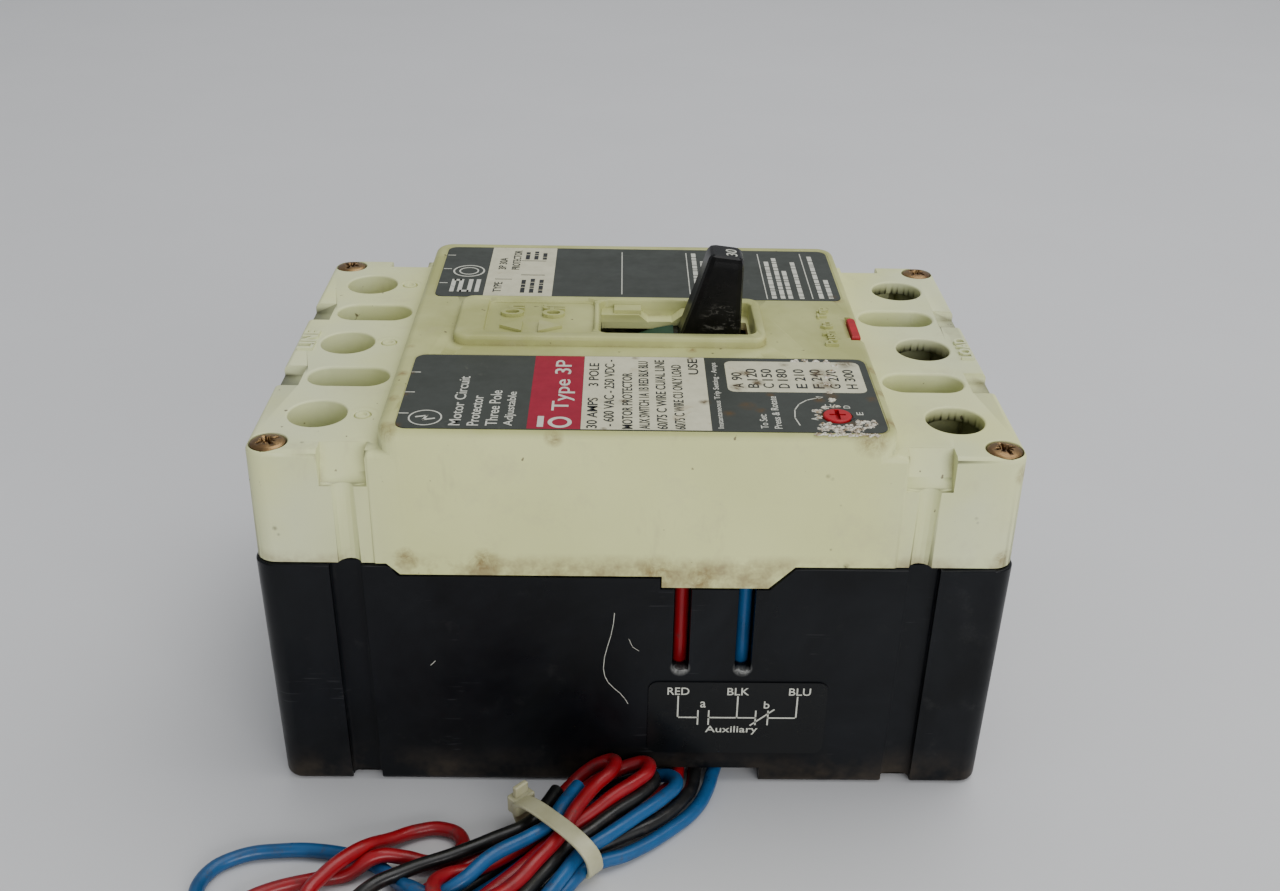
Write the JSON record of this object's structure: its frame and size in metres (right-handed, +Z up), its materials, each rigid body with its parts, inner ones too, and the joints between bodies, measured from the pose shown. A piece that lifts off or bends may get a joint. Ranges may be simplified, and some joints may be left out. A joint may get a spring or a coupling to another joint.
{
  "type": "motor protection breaker",
  "caption": "Moulded-case motor protection breaker with a toggle handle, push-to-trip button, trip-setting dial, clamp terminals and tied auxiliary-switch leads.",
  "frame": {"origin": "centre of the casing's mounting face, at the bottom", "axes": "+X towards the load end, along the poles; -Y towards the side the lead wires leave; +Z up, out of the handle face"},
  "size_m": [0.1642, 0.1679, 0.1021],
  "materials": {
    "black_moulding": "semi-gloss black phenolic moulding",
    "cream_moulding": "aged cream thermoset, soiled",
    "screw_brass": "bronze-coloured plated screw",
    "label_sheet": "printed foil label, grey, red and cream",
    "red_moulding": "red thermoplastic",
    "flag_strip": "dark green strip",
    "steel": "zinc-plated pressed steel",
    "spring_steel": "spring wire",
    "plated_lug": "plated clamp body and screw",
    "copper": "copper bar, bright to tarnished",
    "arc_fibre": "vulcanised fibre boards with steel plates",
    "red_wire": "red PVC insulation",
    "black_wire": "black PVC insulation",
    "blue_wire": "blue PVC insulation",
    "nylon": "natural nylon"
  },
  "bodies": {
    "casing": {"base": "black_moulding", "auxiliary_switch": "black_moulding", "cover": "cream_moulding", "cover_screw_1": "screw_brass", "cover_screw_2": "screw_brass", "cover_screw_3": "screw_brass", "cover_screw_4": "screw_brass", "front_label": "label_sheet", "rear_label": "label_sheet", "wiring_label": "label_sheet", "mechanism_frame": "steel", "operating_spring": "spring_steel", "button_spring": "spring_steel", "line_lug_1": "plated_lug", "line_lug_2": "plated_lug", "line_lug_3": "plated_lug", "load_lug_1": "plated_lug", "load_lug_2": "plated_lug", "load_lug_3": "plated_lug", "line_lug_screw_1": "plated_lug", "line_lug_screw_2": "plated_lug", "line_lug_screw_3": "plated_lug", "load_lug_screw_1": "plated_lug", "load_lug_screw_2": "plated_lug", "load_lug_screw_3": "plated_lug", "line_strap_1": "copper", "line_strap_2": "copper", "line_strap_3": "copper", "load_coil_1": "copper", "load_coil_2": "copper", "load_coil_3": "copper", "flexible_shunt_1": "copper", "flexible_shunt_2": "copper", "flexible_shunt_3": "copper", "arc_chute_1": "arc_fibre", "arc_chute_2": "arc_fibre", "arc_chute_3": "arc_fibre", "red_lead": "red_wire", "black_lead": "black_wire", "blue_lead": "blue_wire", "lead_hank": "blue_wire", "cable_tie": "nylon"},
    "handle_assembly": {"handle": "black_moulding", "position_flag": "flag_strip", "handle_yoke": "steel"},
    "upper_link_body": {"upper_link": "steel"},
    "lower_link_body": {"lower_link": "steel"},
    "crossbar_assembly": {"crossbar": "black_moulding", "contact_arm_1": "copper", "contact_arm_2": "copper", "contact_arm_3": "copper"},
    "cradle_body": {"cradle": "steel"},
    "trip_bar_body": {"trip_bar": "black_moulding"},
    "trip_button_body": {"push_to_trip_button": "red_moulding"},
    "dial_body": {"trip_dial": "red_moulding"},
    "dial_collar_body": {"dial_collar": "steel"},
    "switch_lever_body": {"switch_lever": "steel"},
    "armature_body_1": {"armature_1": "plated_lug"},
    "armature_body_2": {"armature_2": "plated_lug"},
    "armature_body_3": {"armature_3": "plated_lug"}
  },
  "joints": [
    {"name": "handle_toggle", "type": "hinge", "parent": "casing", "child": "handle_assembly", "pos_m": [0.012, 0, 0.054], "axis": [0, 1, 0], "range_deg": [-26, 1.5], "deforming": ["operating_spring"]},
    {"name": "crossbar_turn", "type": "hinge", "parent": "casing", "child": "crossbar_assembly", "pos_m": [0.002, 0, 0.026], "axis": [0, 1, 0], "range_deg": [-24.5, 1.6], "deforming": ["flexible_shunt_1", "flexible_shunt_2", "flexible_shunt_3"]},
    {"name": "upper_link_turn", "type": "hinge", "parent": "casing", "child": "upper_link_body", "pos_m": [-0.004, -0.00135, 0.056], "axis": [0, 1, 0], "range_deg": [-2, 31.6]},
    {"name": "knee_turn", "type": "hinge", "parent": "upper_link_body", "child": "lower_link_body", "pos_m": [0.00217, 0, 0.04343], "axis": [0, 1, 0], "range_deg": [-57, 3.5]},
    {"name": "cradle_release", "type": "hinge", "parent": "casing", "child": "cradle_body", "pos_m": [-0.01, 0, 0.04885], "axis": [0, 1, 0], "range_deg": [-18, 0]},
    {"name": "trip_bar_turn", "type": "hinge", "parent": "casing", "child": "trip_bar_body", "pos_m": [0.038, 0, 0.046], "axis": [0, 1, 0], "range_deg": [0, 15]},
    {"name": "push_to_trip", "type": "slide", "parent": "casing", "child": "trip_button_body", "axis": [0, 0, -1], "range_m": [0, 0.002], "stiffness_N_per_m": 200, "springref_m": -0.0005, "deforming": ["button_spring"]},
    {"name": "trip_dial_press", "type": "slide", "parent": "casing", "child": "dial_collar_body", "axis": [0, 0, -1], "range_m": [0, 0.0015], "stiffness_N_per_m": 300, "springref_m": -0.0005},
    {"name": "trip_dial_turn", "type": "hinge", "parent": "dial_collar_body", "child": "dial_body", "pos_m": [0.0386, -0.0437, 0.086], "axis": [0, 0, -1], "range_deg": [0, 315]},
    {"name": "switch_lever_turn", "type": "hinge", "parent": "casing", "child": "switch_lever_body", "pos_m": [0.0014, -0.0415, 0.0502], "axis": [0, 1, 0], "range_deg": [-0.6, 8.2]},
    {"name": "armature_lift_1", "type": "slide", "parent": "casing", "child": "armature_body_1", "axis": [0, 0, 1], "range_m": [0, 0.002], "stiffness_N_per_m": 60, "springref_m": -0.0005},
    {"name": "armature_lift_2", "type": "slide", "parent": "casing", "child": "armature_body_2", "axis": [0, 0, 1], "range_m": [0, 0.002], "stiffness_N_per_m": 60, "springref_m": -0.0005},
    {"name": "armature_lift_3", "type": "slide", "parent": "casing", "child": "armature_body_3", "axis": [0, 0, 1], "range_m": [0, 0.002], "stiffness_N_per_m": 60, "springref_m": -0.0005}
  ],
  "couplings": [
    {"joint": "crossbar_turn", "follows": "handle_toggle", "ratio": 0.923},
    {"joint": "upper_link_turn", "follows": "handle_toggle", "ratio": -1.2054},
    {"joint": "knee_turn", "follows": "handle_toggle", "ratio": 2.1673},
    {"joint": "switch_lever_turn", "follows": "handle_toggle", "ratio": -0.31},
    {"joint": "trip_bar_turn", "follows": "push_to_trip", "rad_per_m": 120}
  ]
}
